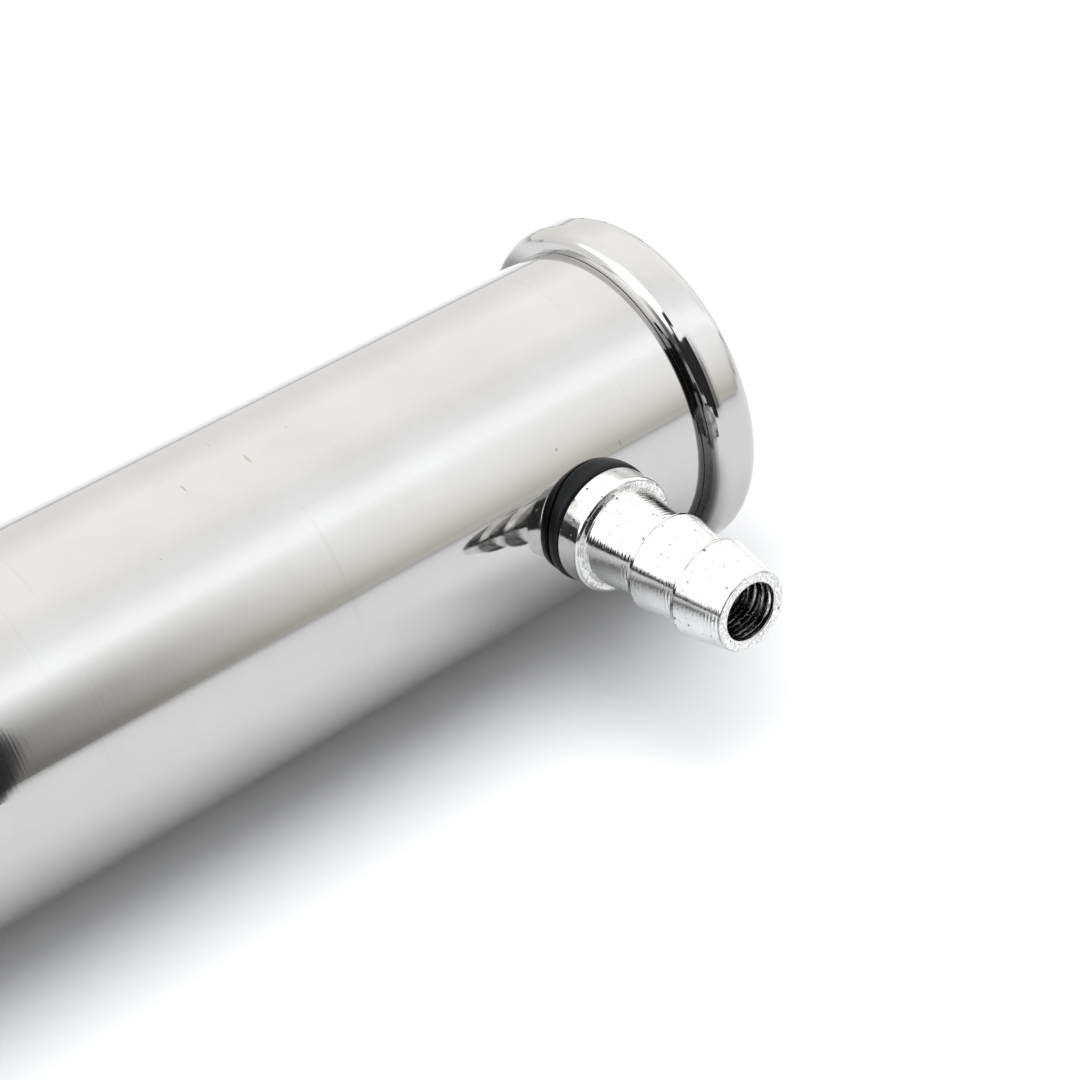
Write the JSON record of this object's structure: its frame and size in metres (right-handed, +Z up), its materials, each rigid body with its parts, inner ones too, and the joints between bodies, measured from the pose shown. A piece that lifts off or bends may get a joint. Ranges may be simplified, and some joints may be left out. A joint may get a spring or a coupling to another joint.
{
  "type": "aquarium carbon dioxide diffuser",
  "caption": "Polished steel tube with rounded screw caps at both ends, a side hose barb sealed by a rubber ring, and a porous ceramic tube behind a long window.",
  "frame": {"origin": "on the tube's axis, halfway between the two end faces, where a holder's clip grips the tube", "axes": "+X along the tube towards the end with the hose barb; -Y along the hose barb, away from the tube; +Z up"},
  "size_m": [0.09, 0.0278, 0.0182],
  "materials": {
    "polished_steel": "mirror-polished stainless steel with fine scratches",
    "plain_steel": "plain machined stainless steel",
    "barb_metal": "bright machined, with lathe rings and small pits",
    "black_rubber": "smooth black rubber",
    "gasket_rubber": "soft grey silicone rubber",
    "porous_ceramic": "rough porous white ceramic",
    "holder_plastic": "turned black acetal plastic"
  },
  "bodies": {
    "body": {"body_tube": "polished_steel", "barb_boss": "plain_steel", "gas_bulkhead": "holder_plastic", "bulkhead_o_ring": "black_rubber", "bulkhead_snap_ring": "plain_steel", "inlet_ceramic_gasket": "gasket_rubber", "ceramic_tube": "porous_ceramic", "far_ceramic_gasket": "gasket_rubber", "ceramic_end_plug": "holder_plastic", "thrust_washer": "plain_steel"},
    "inlet_cap_ring": {"inlet_cap_o_ring": "black_rubber"},
    "inlet_cap": {"inlet_end_cap": "polished_steel"},
    "far_cap_ring": {"far_cap_o_ring": "black_rubber"},
    "far_cap": {"far_end_cap": "polished_steel"},
    "barb_ring": {"barb_o_ring": "black_rubber"},
    "barb": {"hose_barb": "barb_metal"}
  },
  "joints": [
    {"name": "inlet_cap_travel", "type": "slide", "parent": "body", "child": "inlet_cap_ring", "axis": [1, 0, 0], "range_m": [0, 0.0032]},
    {"name": "inlet_cap_turn", "type": "hinge", "parent": "inlet_cap_ring", "child": "inlet_cap", "pos_m": [0.0434, 0, 0], "axis": [1, 0, 0], "range_deg": [0, 1440]},
    {"name": "far_cap_travel", "type": "slide", "parent": "body", "child": "far_cap_ring", "axis": [-1, 0, 0], "range_m": [0, 0.0048]},
    {"name": "far_cap_turn", "type": "hinge", "parent": "far_cap_ring", "child": "far_cap", "pos_m": [-0.0434, 0, 0], "axis": [-1, 0, 0], "range_deg": [0, 2160]},
    {"name": "barb_travel", "type": "slide", "parent": "body", "child": "barb_ring", "axis": [0, -1, 0], "range_m": [0, 0.0032]},
    {"name": "barb_turn", "type": "hinge", "parent": "barb_ring", "child": "barb", "pos_m": [0.035, -0.0093, 0], "axis": [0, -1, 0], "range_deg": [0, 1440]}
  ],
  "couplings": [
    {"joint": "inlet_cap_turn", "follows": "inlet_cap_travel", "rad_per_m": 7854},
    {"joint": "far_cap_turn", "follows": "far_cap_travel", "rad_per_m": 7854},
    {"joint": "barb_turn", "follows": "barb_travel", "rad_per_m": 7854}
  ]
}
